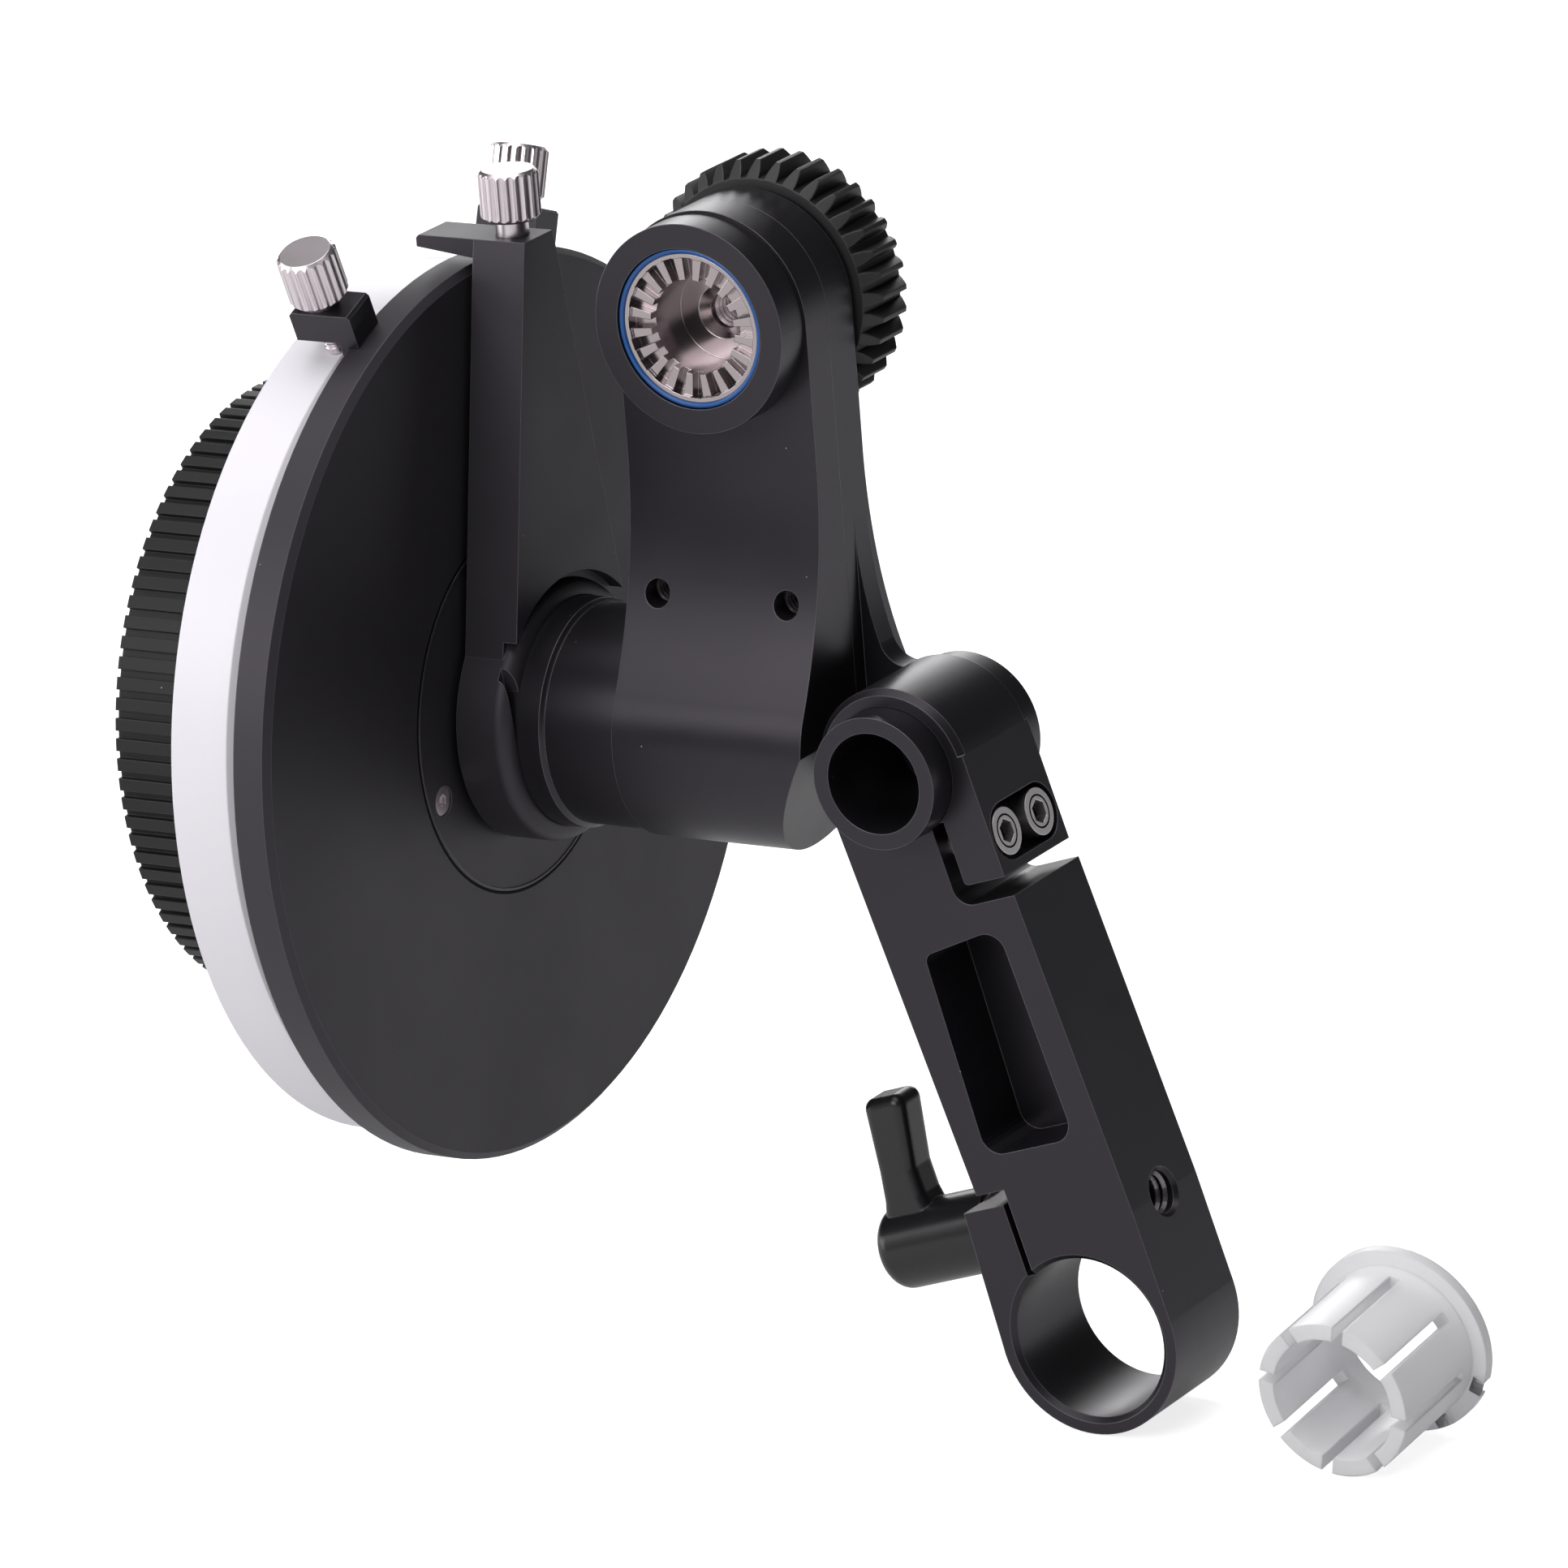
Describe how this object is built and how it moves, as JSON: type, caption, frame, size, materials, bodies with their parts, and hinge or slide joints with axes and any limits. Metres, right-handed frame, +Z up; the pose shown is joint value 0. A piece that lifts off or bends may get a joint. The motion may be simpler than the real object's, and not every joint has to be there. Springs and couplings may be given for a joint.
{
  "type": "follow focus unit",
  "caption": "Follow focus unit: hand wheel with marking ring and hard stops, slim gearbox with lens gear, pivoting arm with lever rod clamp and reduction bush.",
  "frame": {"origin": "centre of the rod clamp's bore, half way through the arm's depth", "axes": "+Y along the rod, away from the operator's view; +X along the wheel shaft from the hand wheel to the arm; +Z up"},
  "size_m": [0.1543, 0.106, 0.141],
  "materials": {
    "black_anodised": "black anodised, fine bead-blasted satin",
    "steel": "turned stainless steel, satin",
    "bronze": "sintered bronze, dull",
    "black_moulded": "black glass-filled nylon, satin",
    "white_plastic": "white acetal, smooth satin, can be written on",
    "clear_plastic": "pale grey translucent nylon",
    "blue_rubber": "blue nitrile rubber"
  },
  "bodies": {
    "arm": {"bridge_arm": "black_anodised", "arm_pinch_screws": "steel", "reduction_bush": "clear_plastic"},
    "lever": {"clamp_lever": "black_moulded", "lever_stud": "steel", "lever_washer": "steel"},
    "gearbox": {"front_cover": "black_anodised", "rear_cover": "black_anodised", "cover_screws": "steel", "cap_ring": "black_anodised", "seal_ring": "blue_rubber", "front_bushing": "bronze", "rear_bushing": "bronze", "pivot_tube": "black_anodised", "pivot_washer": "steel", "pivot_screw": "steel", "shaft_housing": "black_anodised", "housing_screws": "steel", "shaft_bushings": "bronze", "lay_bushings": "bronze", "pointer_bracket": "black_anodised"},
    "pointer_clamp": {"pointer_screw": "steel"},
    "handwheel": {"wheel_disc": "black_anodised", "marking_ring": "white_plastic", "grip_ring": "black_moulded", "hub_plate": "black_anodised", "hub_screws": "steel", "knob_cap": "black_anodised", "knob_screw": "steel", "wheel_shaft": "steel", "wheel_bevel": "steel"},
    "near_stop": {"stop_a": "black_anodised"},
    "near_stop_screw": {"stop_a_screw": "steel"},
    "far_stop": {"stop_b": "black_anodised"},
    "far_stop_screw": {"stop_b_screw": "steel"},
    "lay": {"lay_shaft": "steel", "lay_bevel_lower": "steel", "lay_bevel_upper": "steel"},
    "output": {"output_coupling": "steel", "output_bevel": "steel", "drive_gear": "black_moulded", "gear_screw": "steel"}
  },
  "joints": [
    {"name": "lever_turn", "type": "hinge", "parent": "arm", "child": "lever", "pos_m": [-0.00393, 0, 0.0127], "axis": [0.9553, 0, 0.2957], "range_deg": [-150, 20]},
    {"name": "gearbox_swing", "type": "hinge", "parent": "arm", "child": "gearbox", "pos_m": [-0.02021, 0, 0.06529], "axis": [0, 1, 0], "range_deg": [-42, 150]},
    {"name": "pointer_screw_turn", "type": "hinge", "parent": "gearbox", "child": "pointer_clamp", "pos_m": [-0.07296, 0.0052, 0.12239], "axis": [0, 0, 1], "range_deg": [0, 270]},
    {"name": "handwheel_turn", "type": "hinge", "parent": "gearbox", "child": "handwheel", "pos_m": [-0.07741, 0.0052, 0.06439], "axis": [1, 0, 0], "range_deg": [-15.9, 14.4]},
    {"name": "near_stop_slide", "type": "hinge", "parent": "handwheel", "child": "near_stop", "pos_m": [-0.08551, 0.0052, 0.06439], "axis": [1, 0, 0], "range_deg": [0, 140]},
    {"name": "near_stop_screw_turn", "type": "hinge", "parent": "near_stop", "child": "near_stop_screw", "pos_m": [-0.08551, -0.01624, 0.11828], "axis": [0, -0.3697, 0.9291], "range_deg": [0, 270]},
    {"name": "far_stop_slide", "type": "hinge", "parent": "handwheel", "child": "far_stop", "pos_m": [-0.08551, 0.0052, 0.06439], "axis": [1, 0, 0], "range_deg": [-140, 0]},
    {"name": "far_stop_screw_turn", "type": "hinge", "parent": "far_stop", "child": "far_stop_screw", "pos_m": [-0.08551, 0.02523, 0.11883], "axis": [0, 0.3453, 0.9385], "range_deg": [0, 270]},
    {"name": "lay_turn", "type": "hinge", "parent": "gearbox", "child": "lay", "pos_m": [-0.04431, 0.0052, 0.08439], "axis": [0, 0, 1], "range_deg": [-32, 32]},
    {"name": "output_turn", "type": "hinge", "parent": "gearbox", "child": "output", "pos_m": [-0.04431, 0.0052, 0.11439], "axis": [0, 1, 0], "range_deg": [-10, 10]}
  ],
  "couplings": [
    {"joint": "lay_turn", "follows": "handwheel_turn", "ratio": 2},
    {"joint": "output_turn", "follows": "handwheel_turn", "ratio": 0.62222}
  ]
}
